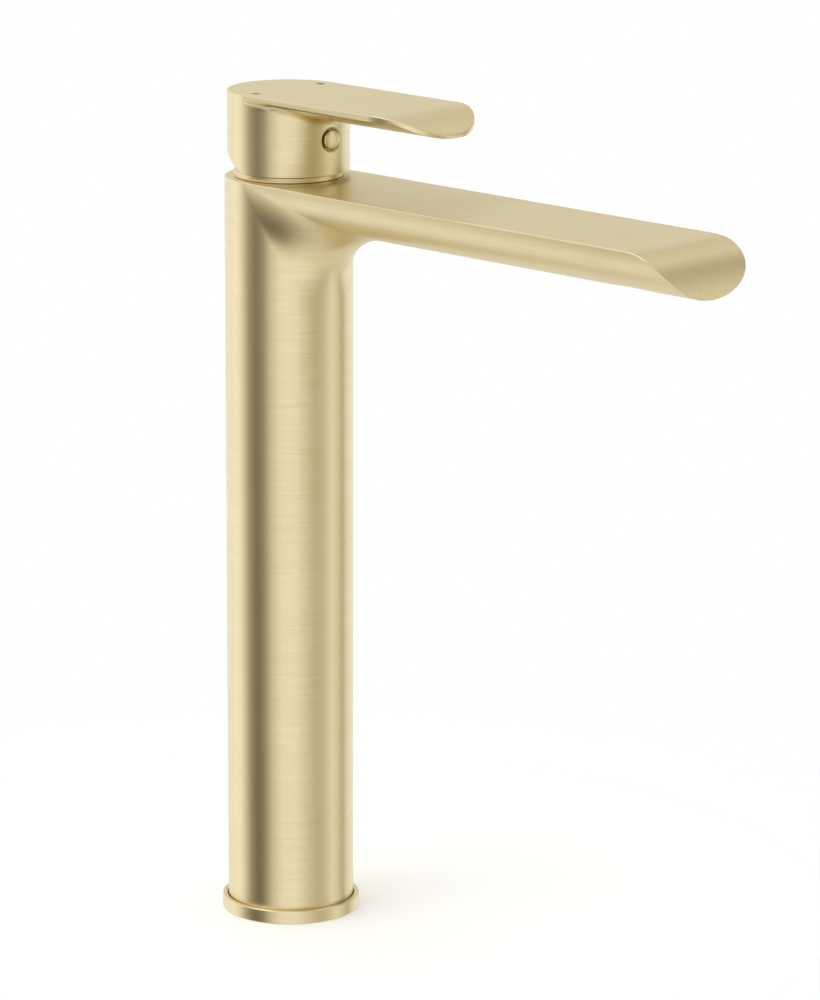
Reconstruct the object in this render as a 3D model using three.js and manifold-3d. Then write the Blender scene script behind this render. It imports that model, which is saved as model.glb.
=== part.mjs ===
// Tall single-lever basin mixer tap: a round column with a flat-topped spout, and a lever on a round hub.
// Millimetres, +Z up, +X along the spout and lever. The origin is the centre of the base, on the deck.

import * as THREE from 'three';
import Module from 'manifold-3d';
import { mergeVertices } from 'three/addons/utils/BufferGeometryUtils.js';

const wasm = await Module();
wasm.setup();

// ---- Driving dimensions ----

const GAP = 0.3;                 // working clearance between neighbouring pieces

const COLUMN_R = 23;             // column and spout half width
const COLUMN_BORE_R = 20;
const BODY_TOP = 273.4;          // level top of column and spout
const SEAT_TOP = 242;            // floor of the cartridge chamber
const SEAT_THICKNESS = 8;
const CHAMBER_R = 19;

const RING_R = 25.15;            // base ring
const RING_HEIGHT = 5;
const RING_SEAT_Z = 3;           // step in the ring that the column stands on

const SPOUT_DEPTH = 17;          // spout section is half an ellipse under a flat top
const NOSE_ARC_R = 20;
const NOSE_START_X = 182.5;
const JUNCTION_REACH = 31;       // cast fillet: how far it runs out along the spout
const JUNCTION_DROP = 22;        // and how far down the column
const WATERWAY_INSET = 3.6;
const WATERWAY_END_X = 158;
const OUTLET_X = 175;
const SPOT_FACE_R = 12;
const SPOT_FACE_Z = BODY_TOP - 15.2;
const AERATOR_BORE_R = 10.9;
const AERATOR_BORE_TOP = SPOT_FACE_Z + 11;

const INLET_BLOCK_HEIGHT = 24;
const INLET_SPACING = 9;         // hot and cold on either side of the column axis
const HOSE_THREAD_R = 5;         // M10 x 1 hose tails
const HOSE_DEPTH = 12;
const STUD_THREAD_R = 4;         // M8 fixing studs
const STUD_OFFSET = 13;
const PIPE_R = 4;
const PIPE_BORE_R = 3;

const PIVOT_Z = 280;             // lever pin
const BALL_ARM = 9;              // lever pin to ball, which drives the disc
const BALL_R = 2.6;
const STEM_HALF = 4;             // square stem
const STEM_TOP = 299.5;

const CARTRIDGE_R = 17.5;        // 35 mm cartridge
const CARTRIDGE_BOTTOM = 249;
const SHOULDER_Z = 270;
const NECK_R = 12.5;
const NECK_TOP = 282.5;

const HUB_R = 21.9;
const HUB_BOTTOM = 275.9;
const HANDLE_TOP = 304.4;
const HUB_CAVITY_R = 17.5;
const HUB_CAVITY_TOP = 290.5;
const RELIEF_ANGLE = THREE.MathUtils.degToRad(25);

const LEVER_HALF = 21.7;
const LEVER_END_X = 61.7;        // centre of the round end
const LEVER_BEND_X = 64.3;       // where the top starts to bend down
const LEVER_BEND_R = 30;
const LEVER_EDGE = 2.2;          // upright edge of the blade
const LEVER_DEPTH = 7.8;
const LEVER_FLAT_HALF = 2;       // flat middle of the underside
const LEVER_BELLY_R = 30;

const SCREW_Z = 288.6;           // grub screw and index plug
const SCREW_R = 2.5;
const PLUG_RECESS_R = 4.1;
const PLUG_R = 3.5;

const BONNET_R = 19.8;
const DOME_R = 16.2;             // raised middle of the bonnet ring, inside the hub
const DOME_TOP = 280.6;

// ---- Materials ----

const finish = (color, roughness, metalness) => () =>
  new THREE.MeshStandardMaterial({ color, roughness, metalness });
const brushedGold = finish(0xd8c795, 0.35, 1);
const rawBrass = finish(0xb8974f, 0.45, 1);
const steel = finish(0xb9bcc0, 0.3, 1);
const copper = finish(0xb87350, 0.35, 1);
const ceramic = finish(0xe8e4dc, 0.25, 0);
const whitePlastic = finish(0xe6e6e2, 0.5, 0);
const greyPlastic = finish(0x8b8f94, 0.5, 0);
const rubber = finish(0x1c1c1e, 0.8, 0);

// ---- Geometry helpers ----

function signedVolume(geometry) {
  const p = geometry.attributes.position;
  const index = geometry.index;
  const [a, b, c] = [new THREE.Vector3(), new THREE.Vector3(), new THREE.Vector3()];
  let sum = 0;
  for (let i = 0; i < index.count; i += 3) {
    a.fromBufferAttribute(p, index.getX(i));
    b.fromBufferAttribute(p, index.getX(i + 1));
    c.fromBufferAttribute(p, index.getX(i + 2));
    sum += a.dot(b.cross(c)) / 6;
  }
  return sum;
}

function solid(geometry) {
  geometry.deleteAttribute('normal');
  geometry.deleteAttribute('uv');
  const merged = mergeVertices(geometry, 1e-4);
  const triangles = [];
  const flip = signedVolume(merged) < 0;
  for (let i = 0; i < merged.index.count; i += 3) {
    const t = [0, 1, 2].map((k) => merged.index.getX(i + k));
    if (t[0] === t[1] || t[1] === t[2] || t[2] === t[0]) continue;
    triangles.push(...(flip ? t.reverse() : t));
  }
  return new wasm.Manifold(new wasm.Mesh({
    numProp: 3,
    vertProperties: new Float32Array(merged.attributes.position.array),
    triVerts: new Uint32Array(triangles),
  }));
}

function piece(name, body, material) {
  const { vertProperties, triVerts } = body.getMesh();
  const geometry = new THREE.BufferGeometry();
  geometry.setAttribute('position', new THREE.BufferAttribute(new Float32Array(vertProperties), 3));
  geometry.setIndex(new THREE.BufferAttribute(new Uint32Array(triVerts), 1));
  geometry.computeVertexNormals();
  const mesh = new THREE.Mesh(geometry, material());
  mesh.name = name;
  return mesh;
}

const cutAll = (body, cutters) => cutters.reduce((rest, cutter) => rest.subtract(cutter), body);

// A round piece from a closed [radius, height] profile.
function turned(profile, segments = 32) {
  const points = [...profile, profile[0]].map(([r, z]) => new THREE.Vector2(r, z));
  return solid(new THREE.LatheGeometry(points, segments).rotateX(Math.PI / 2));
}

function ring(inner, outer, bottom, top, segments = 32) {
  return turned([[inner, bottom], [outer, bottom], [outer, top], [inner, top]], segments);
}

function rod(radius, bottom, top, x = 0, y = 0, segments = 18) {
  const geometry = new THREE.CylinderGeometry(radius, radius, top - bottom, segments);
  return solid(geometry.rotateX(Math.PI / 2).translate(x, y, (bottom + top) / 2));
}

function rodAlongX(radius, start, end, y, z, segments = 18) {
  const geometry = new THREE.CylinderGeometry(radius, radius, end - start, segments);
  return solid(geometry.rotateZ(Math.PI / 2).translate((start + end) / 2, y, z));
}

function rodAlongY(radius, half, z, segments = 16) {
  const geometry = new THREE.CylinderGeometry(radius, radius, 2 * half, segments);
  return solid(geometry.translate(0, 0, z));
}

function block(x0, x1, y0, y1, z0, z1) {
  const geometry = new THREE.BoxGeometry(x1 - x0, y1 - y0, z1 - z0);
  return solid(geometry.translate((x0 + x1) / 2, (y0 + y1) / 2, (z0 + z1) / 2));
}

// An outline in the XZ plane, given as [x, z], made thick along Y.
function sideProfile(outline, half) {
  const shape = new THREE.Shape(outline.map(([x, z]) => new THREE.Vector2(x, z)));
  const geometry = new THREE.ExtrudeGeometry(shape, { depth: 2 * half, bevelEnabled: false, steps: 1 });
  return solid(geometry.translate(0, 0, -half).rotateX(Math.PI / 2));
}

// An outline in the YZ plane, given as [y, z], made long along X.
function crossSection(outline, start, end) {
  const shape = new THREE.Shape(outline.map(([y, z]) => new THREE.Vector2(y, z)));
  const geometry = new THREE.ExtrudeGeometry(shape, { depth: end - start, bevelEnabled: false, steps: 1 });
  const toX = new THREE.Matrix4().makeBasis(
    new THREE.Vector3(0, 1, 0), new THREE.Vector3(0, 0, 1), new THREE.Vector3(1, 0, 0));
  return solid(geometry.applyMatrix4(toX).translate(start, 0, 0));
}

function steps(count, from, to) {
  return Array.from({ length: count + 1 }, (_, i) => from + ((to - from) * i) / count);
}

// ---- Body: column, spout and the cast fillet between them ----

function halfEllipse(half, depth, top, count = 28) {
  return steps(count, -Math.PI / 2, Math.PI / 2).map((angle) =>
    [half * Math.sin(angle), top - depth * Math.cos(angle)]);
}

function spoutSolid() {
  const nose = steps(10, Math.PI / 2, 0.1).map((angle) =>
    [NOSE_START_X + NOSE_ARC_R * Math.cos(angle), BODY_TOP - NOSE_ARC_R + NOSE_ARC_R * Math.sin(angle)]);
  const tip = nose[nose.length - 1];
  const outline = [[0, BODY_TOP - 25], [0, BODY_TOP], ...nose, [tip[0], BODY_TOP - 25]];
  const section = crossSection(halfEllipse(COLUMN_R, SPOUT_DEPTH, BODY_TOP), 0, NOSE_START_X + 25);
  return section.intersect(sideProfile(outline, COLUMN_R + 5));
}

// The fillet is part of an ellipse at each distance across: it leaves the column upright and meets the
// spout's underside level. It is full size on the middle plane, and dies away at the two sides.
function junctionSlice(angle, count) {
  const [s, c] = [Math.sin(angle), Math.cos(angle)];
  const crease = new THREE.Vector3(
    (COLUMN_R - 0.03) * c, (COLUMN_R - 0.03) * s, BODY_TOP - (SPOUT_DEPTH - 0.03) * c);
  const curve = steps(count, 0, Math.PI / 2).map((turn) => new THREE.Vector3(
    crease.x + JUNCTION_REACH * c * (1 - Math.cos(turn)), crease.y,
    crease.z - JUNCTION_DROP * c * (1 - Math.sin(turn))));
  const root = new THREE.Vector3(crease.x * 0.75, crease.y * 0.75, crease.z + (BODY_TOP - crease.z) * 0.4);
  return [...curve, root];
}

function junctionFillet() {
  const arcSteps = 10;
  const slices = steps(20, -1.5, 1.5).map((angle) => junctionSlice(angle, arcSteps));
  const ringSize = slices[0].length;
  const vertices = slices.flat().flatMap((v) => [v.x, v.y, v.z]);
  const index = [];
  for (let i = 0; i + 1 < slices.length; i += 1) {
    for (let j = 0; j < ringSize; j += 1) {
      const k = (j + 1) % ringSize;
      const [a, b] = [i * ringSize + j, i * ringSize + k];
      index.push(a, b, b + ringSize, a, b + ringSize, a + ringSize);
    }
  }
  const last = (slices.length - 1) * ringSize;
  for (let j = 1; j + 2 < ringSize + 1; j += 1) {
    index.push(0, j + 1, j);
    index.push(last, last + j, last + j + 1);
  }
  const geometry = new THREE.BufferGeometry();
  geometry.setAttribute('position', new THREE.Float32BufferAttribute(vertices, 3));
  geometry.setIndex(index);
  return solid(geometry);
}

function bodyShell() {
  const column = rod(COLUMN_R, RING_SEAT_Z + GAP, BODY_TOP, 0, 0, 80);
  const outside = column.add(spoutSolid()).add(junctionFillet());
  const waterwayTop = BODY_TOP - 3.2;
  const waterway = halfEllipse(
    COLUMN_R - WATERWAY_INSET, SPOUT_DEPTH - 3.2 - WATERWAY_INSET, waterwayTop, 16);
  const risers = [-1, 1].map((side) =>
    rod(PIPE_R + GAP, SEAT_TOP - SEAT_THICKNESS - 1, SEAT_TOP - 3, 0, side * INLET_SPACING));
  const ports = [-1, 1].map((side) => rod(PIPE_BORE_R, SEAT_TOP - 4, SEAT_TOP + 1, 0, side * INLET_SPACING));
  return cutAll(outside, [
    rod(COLUMN_BORE_R, 0, SEAT_TOP - SEAT_THICKNESS, 0, 0, 48),
    rod(CHAMBER_R, SEAT_TOP, BODY_TOP + 1, 0, 0, 48),
    crossSection(waterway, 30, WATERWAY_END_X),
    rodAlongX(3.2, 15, 31, 0, 263),
    rodAlongX(3.2, WATERWAY_END_X - 1, OUTLET_X, 0, 265),
    rod(SPOT_FACE_R, SPOT_FACE_Z - 10, SPOT_FACE_Z, OUTLET_X, 0, 36),
    rod(AERATOR_BORE_R, SPOT_FACE_Z - 1, AERATOR_BORE_TOP, OUTLET_X, 0, 32),
    ...risers,
    ...ports,
  ]);
}

// ---- Base ----

function baseRing() {
  const edge = 0.5;
  const body = turned([
    [COLUMN_BORE_R + GAP, 0], [RING_R - edge, 0], [RING_R, edge], [RING_R, RING_HEIGHT - edge],
    [RING_R - edge, RING_HEIGHT], [COLUMN_R + GAP, RING_HEIGHT], [COLUMN_R + GAP, RING_SEAT_Z],
    [COLUMN_BORE_R + GAP, RING_SEAT_Z],
  ], 72);
  return body.subtract(ring(21.4, 24, -1, 1.6, 48));
}

function inletBlock() {
  const body = rod(COLUMN_BORE_R - GAP, 0, INLET_BLOCK_HEIGHT, 0, 0, 48);
  const cutters = [ring(17.8, 22, 14.6, 17.4, 48)];
  for (const side of [-1, 1]) {
    const y = side * INLET_SPACING;
    cutters.push(rod(HOSE_THREAD_R, -1, HOSE_DEPTH, 0, y));
    cutters.push(rod(PIPE_BORE_R, HOSE_DEPTH - 1, INLET_BLOCK_HEIGHT + 1, 0, y));
    cutters.push(rod(PIPE_R + GAP, INLET_BLOCK_HEIGHT - 7, INLET_BLOCK_HEIGHT + 1, 0, y));
    cutters.push(rod(STUD_THREAD_R, -1, 11, side * STUD_OFFSET, 0));
  }
  return cutAll(body, cutters);
}

function riserPipe(side) {
  const bottom = INLET_BLOCK_HEIGHT - 7 + GAP;
  const top = SEAT_TOP - 3 - GAP;
  const tube = ring(PIPE_BORE_R, PIPE_R, bottom, top, 20);
  return tube.translate([0, side * INLET_SPACING, 0]);
}

// ---- Cartridge ----

const PORTS = [[-6, -8.5], [-6, 8.5], [9, 0]];   // hot, cold, mixed
const PORT_R = 3;

const portHoles = (bottom, top) => PORTS.map(([x, y]) => rod(PORT_R, bottom, top, x, y));

function cartridgeHousing() {
  const body = turned([
    [16, CARTRIDGE_BOTTOM], [CARTRIDGE_R, CARTRIDGE_BOTTOM], [CARTRIDGE_R, 267.2], [16.2 + GAP, 267.2],
    [16.2 + GAP, 269.4], [CARTRIDGE_R, 269.4], [CARTRIDGE_R, SHOULDER_Z], [NECK_R, SHOULDER_Z],
    [NECK_R, NECK_TOP], [NECK_R - 1.2, NECK_TOP], [NECK_R - 1.2, 268], [14, 268], [14, 266], [16, 266],
  ], 40);
  return body;
}

function cartridgeBase() {
  const foot = rod(CARTRIDGE_R - GAP, 246, CARTRIDGE_BOTTOM - GAP, 0, 0, 40);
  const plug = rod(15.6, 247, 255.2, 0, 0, 40);
  const sideOutlet = block(9, 20, -3, 3, 245, 248);
  return cutAll(foot.add(plug), [...portHoles(240, 260), sideOutlet]);
}

function movingDisc() {
  const mixingChamber = block(-8, 6, -6.5, 6.5, 258, 260.6);
  return rod(11.5, 259, 261.9, 0, 0, 36).subtract(mixingChamber);
}

function discCarrier() {
  const plate = rod(12, 262.2, 265, 0, 0, 36);
  const boss = rod(5, 264, 273);
  return plate.add(boss).subtract(rod(BALL_R + 0.4, 267.5, 274));
}

function rotorSleeve() {
  const body = turned([
    [0, 265.3], [13.4, 265.3], [13.4, 267.7], [NECK_R - 1.5, 267.7], [NECK_R - 1.5, 282.2], [0, 282.2],
  ]);
  const slot = block(-6, 9.5, -5.4, 5.4, 260, 290);
  return cutAll(body, [slot, rodAlongY(1.8, 15, PIVOT_Z)]);
}

function stem() {
  const square = block(-STEM_HALF, STEM_HALF, -STEM_HALF, STEM_HALF, 275.5, STEM_TOP);
  const neck = rod(1.9, PIVOT_Z - BALL_ARM, 276, 0, 0, 12);
  const ball = solid(new THREE.SphereGeometry(BALL_R, 14, 8).translate(0, 0, PIVOT_Z - BALL_ARM));
  return square.add(neck).add(ball).subtract(rodAlongY(1.8, 10, PIVOT_Z));
}

// The bonnet ring shows as a thin band under the hub, and domes up around the cartridge neck inside it.
function bonnetRing() {
  return turned([
    [NECK_R + GAP, BODY_TOP + GAP], [BONNET_R, BODY_TOP + GAP], [BONNET_R, HUB_BOTTOM - GAP],
    [DOME_R, HUB_BOTTOM - GAP], [DOME_R - 1, DOME_TOP - 1.2], [NECK_R + 1.5, DOME_TOP],
    [NECK_R + GAP, DOME_TOP],
  ], 72);
}

// ---- Handle ----

function leverBlade() {
  const plan = new THREE.Shape();
  plan.moveTo(0, -LEVER_HALF);
  plan.lineTo(LEVER_END_X, -LEVER_HALF);
  plan.absarc(LEVER_END_X, 0, LEVER_HALF, -Math.PI / 2, Math.PI / 2, false);
  plan.lineTo(0, LEVER_HALF);
  const depth = LEVER_DEPTH + 4;
  const footprint = solid(new THREE.ExtrudeGeometry(plan, { depth, bevelEnabled: false, curveSegments: 24 })
    .translate(0, 0, HANDLE_TOP - depth));

  const reach = LEVER_END_X + LEVER_HALF + 1;
  const bend = steps(8, LEVER_BEND_X, reach).map((x) =>
    [x, HANDLE_TOP - LEVER_BEND_R + Math.sqrt(LEVER_BEND_R ** 2 - (x - LEVER_BEND_X) ** 2)]);
  const top = sideProfile([[-1, HANDLE_TOP - 20], [-1, HANDLE_TOP], ...bend, [reach, HANDLE_TOP - 20]], 30);

  const bellyEnd = LEVER_FLAT_HALF
    + Math.sqrt(LEVER_BELLY_R ** 2 - (LEVER_BELLY_R - LEVER_DEPTH + LEVER_EDGE) ** 2);
  const belly = (y) => HANDLE_TOP - LEVER_DEPTH + LEVER_BELLY_R
    - Math.sqrt(LEVER_BELLY_R ** 2 - (y - LEVER_FLAT_HALF) ** 2);
  const right = steps(8, LEVER_FLAT_HALF, bellyEnd).map((y) => [y, belly(y)]);
  const left = right.map(([y, z]) => [-y, z]).reverse();
  const edgeZ = HANDLE_TOP - LEVER_EDGE;
  const section = crossSection([
    [-LEVER_HALF - 1, HANDLE_TOP + 1], [-LEVER_HALF - 1, edgeZ], ...left, ...right,
    [LEVER_HALF + 1, edgeZ], [LEVER_HALF + 1, HANDLE_TOP + 1],
  ], -1, reach + 1);
  return footprint.intersect(top).intersect(section);
}

function leverHandle() {
  const hub = rod(HUB_R, HUB_BOTTOM, HANDLE_TOP, 0, 0, 80);
  const rise = (HUB_R + 3) * Math.tan(RELIEF_ANGLE);
  const relief = sideProfile([
    [-0.5, HUB_BOTTOM - 5], [-0.5, HUB_BOTTOM], [-0.5 - HUB_R - 3, HUB_BOTTOM + rise],
    [-0.5 - HUB_R - 3, HUB_BOTTOM - 5],
  ], 30);
  const socket = STEM_HALF + GAP;
  const cavity = rod(HUB_CAVITY_R, HUB_BOTTOM - 1, HUB_CAVITY_TOP, 0, 0, 40)
    .subtract(rod(7.5, 286.5, HUB_CAVITY_TOP + 1))
    .subtract(block(4, HUB_CAVITY_R + 2, -5, 5, 284.2, HUB_CAVITY_TOP + 1));
  return cutAll(hub.add(leverBlade()), [
    relief,
    cavity,
    block(-socket, socket, -socket, socket, 280, STEM_TOP + GAP),
    rodAlongX(SCREW_R + GAP, 0, HUB_R + 1, 0, SCREW_Z),
    rodAlongX(PLUG_RECESS_R, 19.4, HUB_R + 1, 0, SCREW_Z),
  ]);
}

function grubScrew() {
  const body = rodAlongX(SCREW_R, STEM_HALF + GAP, 13, 0, SCREW_Z);
  const key = new THREE.CylinderGeometry(1.5, 1.5, 3, 6).rotateZ(Math.PI / 2).translate(12.5, 0, SCREW_Z);
  return body.subtract(solid(key));
}

function indexPlug() {
  const dome = steps(4, 0, Math.PI / 2).map((a) => [PLUG_R * Math.cos(a), 22.1 + 0.9 * Math.sin(a)]);
  const profile = [[0, 15], [SCREW_R - 0.2, 15], [SCREW_R - 0.2, 19.8], [PLUG_R, 19.8], ...dome];
  profile[profile.length - 1][0] = 0;
  const points = profile.map(([r, x]) => new THREE.Vector2(r, x));
  const geometry = new THREE.LatheGeometry(points, 20).rotateZ(-Math.PI / 2).translate(0, 0, SCREW_Z);
  return solid(geometry);
}

// ---- Aerator ----

function aeratorHousing() {
  const bottom = SPOT_FACE_Z + 0.2;
  const r = AERATOR_BORE_R - GAP;
  const body = turned([
    [r - 2.2, bottom], [r, bottom], [r, bottom + 9], [r - 1.6, bottom + 9], [r - 1.6, bottom + 2],
    [r - 2.2, bottom + 2],
  ]);
  return body.translate([OUTLET_X, 0, 0]);
}

function aeratorScreen() {
  const bottom = SPOT_FACE_Z + 2.2 + GAP;
  let disc = rod(AERATOR_BORE_R - GAP - 1.9, bottom, bottom + 1.4, OUTLET_X, 0, 32);
  const rows = [[0, 1], [2.9, 6], [5.9, 10]];
  for (const [radius, count] of rows) {
    for (let i = 0; i < count; i += 1) {
      const angle = (i / count) * 2 * Math.PI;
      const [x, y] = [OUTLET_X + radius * Math.cos(angle), radius * Math.sin(angle)];
      disc = disc.subtract(rod(1, bottom - 1, bottom + 3, x, y, 6));
    }
  }
  return disc;
}

// ---- Assembly ----

const model = new THREE.Group();
const add = (name, body, material) => model.add(piece(name, body, material));

add('body_shell', bodyShell(), brushedGold);
add('base_ring', baseRing(), brushedGold);
add('base_gasket', ring(21.7, 23.7, 0, 1.3, 48), rubber);
add('inlet_block', inletBlock(), rawBrass);
add('inlet_block_oring', ring(18.1, COLUMN_BORE_R - GAP, 14.9, 17.1), rubber);
add('hot_riser_pipe', riserPipe(-1), copper);
add('cold_riser_pipe', riserPipe(1), copper);

['hot_port_seal', 'cold_port_seal', 'outlet_port_seal'].forEach((name, i) => {
  const [x, y] = PORTS[i];
  add(name, ring(PORT_R, PORT_R + 1.5, SEAT_TOP + GAP, 245.7, 20).translate([x, y, 0]), rubber);
});
add('cartridge_base', cartridgeBase(), whitePlastic);
add('cartridge_housing', cartridgeHousing(), whitePlastic);
add('cartridge_oring', ring(16.8, CHAMBER_R - GAP, 267.5, 269.1), rubber);
add('fixed_ceramic_disc', cutAll(rod(15.6, 255.5, 258.7, 0, 0, 40), portHoles(254, 260)), ceramic);
add('moving_ceramic_disc', movingDisc(), ceramic);
add('disc_carrier', discCarrier(), greyPlastic);
add('rotor_sleeve', rotorSleeve(), greyPlastic);
add('pivot_pin', rodAlongY(1.5, 10.6, PIVOT_Z), steel);
add('stem', stem(), rawBrass);
add('retaining_nut', ring(NECK_R + GAP, CHAMBER_R - GAP, SHOULDER_Z + GAP, 273.1, 40), rawBrass);
add('bonnet_ring', bonnetRing(), brushedGold);

add('lever_handle', leverHandle(), brushedGold);
add('grub_screw', grubScrew(), steel);
add('index_plug', indexPlug(), brushedGold);

add('aerator_housing', aeratorHousing(), whitePlastic);
add('aerator_screen', aeratorScreen(), whitePlastic);
const gasketZ = SPOT_FACE_Z + 9.2 + GAP;
const aeratorGasket = ring(8.6, AERATOR_BORE_R - GAP, gasketZ, gasketZ + 1.1);
add('aerator_gasket', aeratorGasket.translate([OUTLET_X, 0, 0]), rubber);

export default model;
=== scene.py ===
import math

import bmesh
import bpy
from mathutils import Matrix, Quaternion, Vector


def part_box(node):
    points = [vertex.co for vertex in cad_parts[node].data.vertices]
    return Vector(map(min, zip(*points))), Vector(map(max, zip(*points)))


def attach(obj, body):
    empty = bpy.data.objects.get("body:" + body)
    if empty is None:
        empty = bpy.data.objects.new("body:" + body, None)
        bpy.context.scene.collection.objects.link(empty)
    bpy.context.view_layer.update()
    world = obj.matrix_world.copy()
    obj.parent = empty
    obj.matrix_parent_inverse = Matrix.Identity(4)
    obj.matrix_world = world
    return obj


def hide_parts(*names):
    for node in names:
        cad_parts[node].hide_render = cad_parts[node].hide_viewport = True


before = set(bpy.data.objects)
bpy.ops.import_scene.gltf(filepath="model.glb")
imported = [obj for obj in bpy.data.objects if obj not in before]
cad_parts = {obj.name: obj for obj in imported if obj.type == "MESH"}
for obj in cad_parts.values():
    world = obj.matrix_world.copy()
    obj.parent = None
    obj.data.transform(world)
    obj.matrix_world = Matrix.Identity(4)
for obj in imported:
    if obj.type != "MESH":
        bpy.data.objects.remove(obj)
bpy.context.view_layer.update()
MM = 0.001


# ---- Studio -------------------------------------------------------------------------------------
# A small pale table in a soft white room with two dark stretches of wall, which a satin metal column
# shows as its upright darker bands. A long lens looks slightly down on the lever's side.

camera_place = Vector((1.29353, -1.25699, 0.58981))
camera_aim = Vector((0.00718, 0.05508, 0.14543))
camera_roll = math.radians(0.153)
camera_lens = 183.86

camera_data = bpy.data.cameras.new("camera")
camera_data.lens = camera_lens
camera_data.sensor_width = 36
camera_data.clip_end = 20
camera = bpy.data.objects.new("camera", camera_data)
bpy.context.scene.collection.objects.link(camera)
camera.location = camera_place
camera.rotation_mode = "QUATERNION"
look = (camera_aim - camera_place).to_track_quat("-Z", "Y")
camera.rotation_quaternion = look @ Quaternion((0, 0, 1), camera_roll)
bpy.context.scene.camera = camera
bpy.context.scene.view_settings.view_transform = "Standard"


def add_node(tree, kind, settings=None, links=None):
    """Adds a node with its settings, and links its inputs to the sockets or values given."""
    node = tree.nodes.new(kind)
    for name, value in (settings or {}).items():
        setattr(node, name, value)
    for name, source in (links or {}).items():
        if isinstance(source, bpy.types.NodeSocket):
            tree.links.new(source, node.inputs[name])
        else:
            node.inputs[name].default_value = source
    return node


def set_ramp(node, stops, interpolation="EASE"):
    """Gives a Color Ramp node its (place, colour) stops."""
    ramp = node.color_ramp
    ramp.interpolation = interpolation
    for index, (place, colour) in enumerate(stops):
        element = ramp.elements[index] if index < 2 else ramp.elements.new(place)
        element.position = place
        element.color = (*colour, 1)


def smooth_step(tree, value, start, end):
    """A soft 0 to 1 as the value goes from start to end."""
    return add_node(tree, "ShaderNodeMapRange", {"interpolation_type": "SMOOTHSTEP"}, {
        "Value": value, "From Min": start, "From Max": end}).outputs[0]


def mix_values(tree, kind, factor, first, second):
    """Mixes two numbers, two directions or two colours."""
    slots = {"FLOAT": (2, 3, 0), "VECTOR": (4, 5, 1), "RGBA": (6, 7, 2)}[kind]
    node = add_node(tree, "ShaderNodeMix", {"data_type": kind}, {
        0: factor, slots[0]: first, slots[1]: second})
    return node.outputs[slots[2]]


def wall_grey(level):
    """The light of a stretch of the room's wall: the darker it is, the warmer."""
    return (level, level**1.1, level**1.4)


# Compass bearings in degrees, anticlockwise from the spout, with how light the room is there: low
# down, where the upright walls of a tap mirror it, and higher up, where tops and edges do.
low_room = (
    (-180, 1.04), (-160, 1.14), (-152, 1.16), (-143, 1.02), (-134, 0.68), (-122, 0.24),
    (-106, 0.02), (-93, 0.17), (-75, 0.78), (-58, 1.06), (-36, 1.08), (-12, 0.82), (5, 0.6),
    (20, 0.66), (40, 0.98), (54, 0.86), (67, 0.5), (84, 0.98), (110, 1.0), (135, 0.86),
    (160, 1.0), (180, 1.04),
)
high_room = (
    (-180, 1.05), (-140, 1.0), (-60, 1.05), (-30, 0.85), (-5, 0.5), (18, 0.75), (36, 1.15),
    (45, 1.1), (52, 0.6), (59, 0.32), (66, 0.32), (74, 0.5), (92, 0.8), (120, 0.7),
    (138, 0.79), (155, 0.95), (180, 1.05),
)
# The room changes with the height of the direction looked in: 0 is level and 1 is straight up.
high_room_from, ceiling_from, ground_from = (0.0, 0.2), (0.7, 0.95), (-0.55, -0.9)
ceiling_light, ground_light = (0.95, 0.94, 0.91, 1), (0.82, 0.8, 0.75, 1)
white = (1, 1, 1, 1)

world = bpy.data.worlds.new("studio room")
bpy.context.scene.world = world
world.use_nodes = True
room = world.node_tree
room.nodes.clear()
direction = add_node(room, "ShaderNodeTexCoord").outputs["Generated"]
parts = add_node(room, "ShaderNodeSeparateXYZ", links={0: direction}).outputs
bearing = add_node(room, "ShaderNodeMath", {"operation": "ARCTAN2"}, {0: parts["Y"], 1: parts["X"]})
turn = add_node(room, "ShaderNodeMapRange", links={
    "Value": bearing.outputs[0], "From Min": -math.pi, "From Max": math.pi})
levels = []
for bearings in (low_room, high_room):
    level_ramp = add_node(room, "ShaderNodeValToRGB", links={0: turn.outputs[0]})
    set_ramp(level_ramp, [((angle + 180) / 360, wall_grey(level)) for angle, level in bearings])
    levels.append(level_ramp.outputs[0])
light = mix_values(room, "RGBA", smooth_step(room, parts["Z"], *high_room_from), *levels)
light = mix_values(room, "RGBA", smooth_step(room, parts["Z"], *ceiling_from), light, ceiling_light)
light = mix_values(room, "RGBA", smooth_step(room, parts["Z"], *ground_from), light, ground_light)
seen = add_node(room, "ShaderNodeLightPath").outputs["Is Camera Ray"]
backdrop = mix_values(room, "RGBA", seen, light, white)
glow = add_node(room, "ShaderNodeBackground", links={"Color": backdrop, "Strength": 1.0})
add_node(room, "ShaderNodeOutputWorld", links={"Surface": glow.outputs[0]})

key_place, key_aim = Vector((-0.5, -1.4, 1.6)), Vector((0, 0, 0.15))
key_data = bpy.data.lights.new("key_softbox", "AREA")
key_data.shape = "RECTANGLE"
key_data.size, key_data.size_y = 1.2, 0.9
key_data.energy = 5
key = bpy.data.objects.new("key_softbox", key_data)
key.location = key_place
key.rotation_euler = (key_aim - key_place).to_track_quat("-Z", "Y").to_euler()
bpy.context.scene.collection.objects.link(key)


def deselect():
    """Leaves edit mode, with nothing selected."""
    if bpy.context.object and bpy.context.object.mode == "EDIT":
        bpy.ops.object.mode_set(mode="OBJECT")
    bpy.ops.object.select_all(action="DESELECT")


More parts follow.
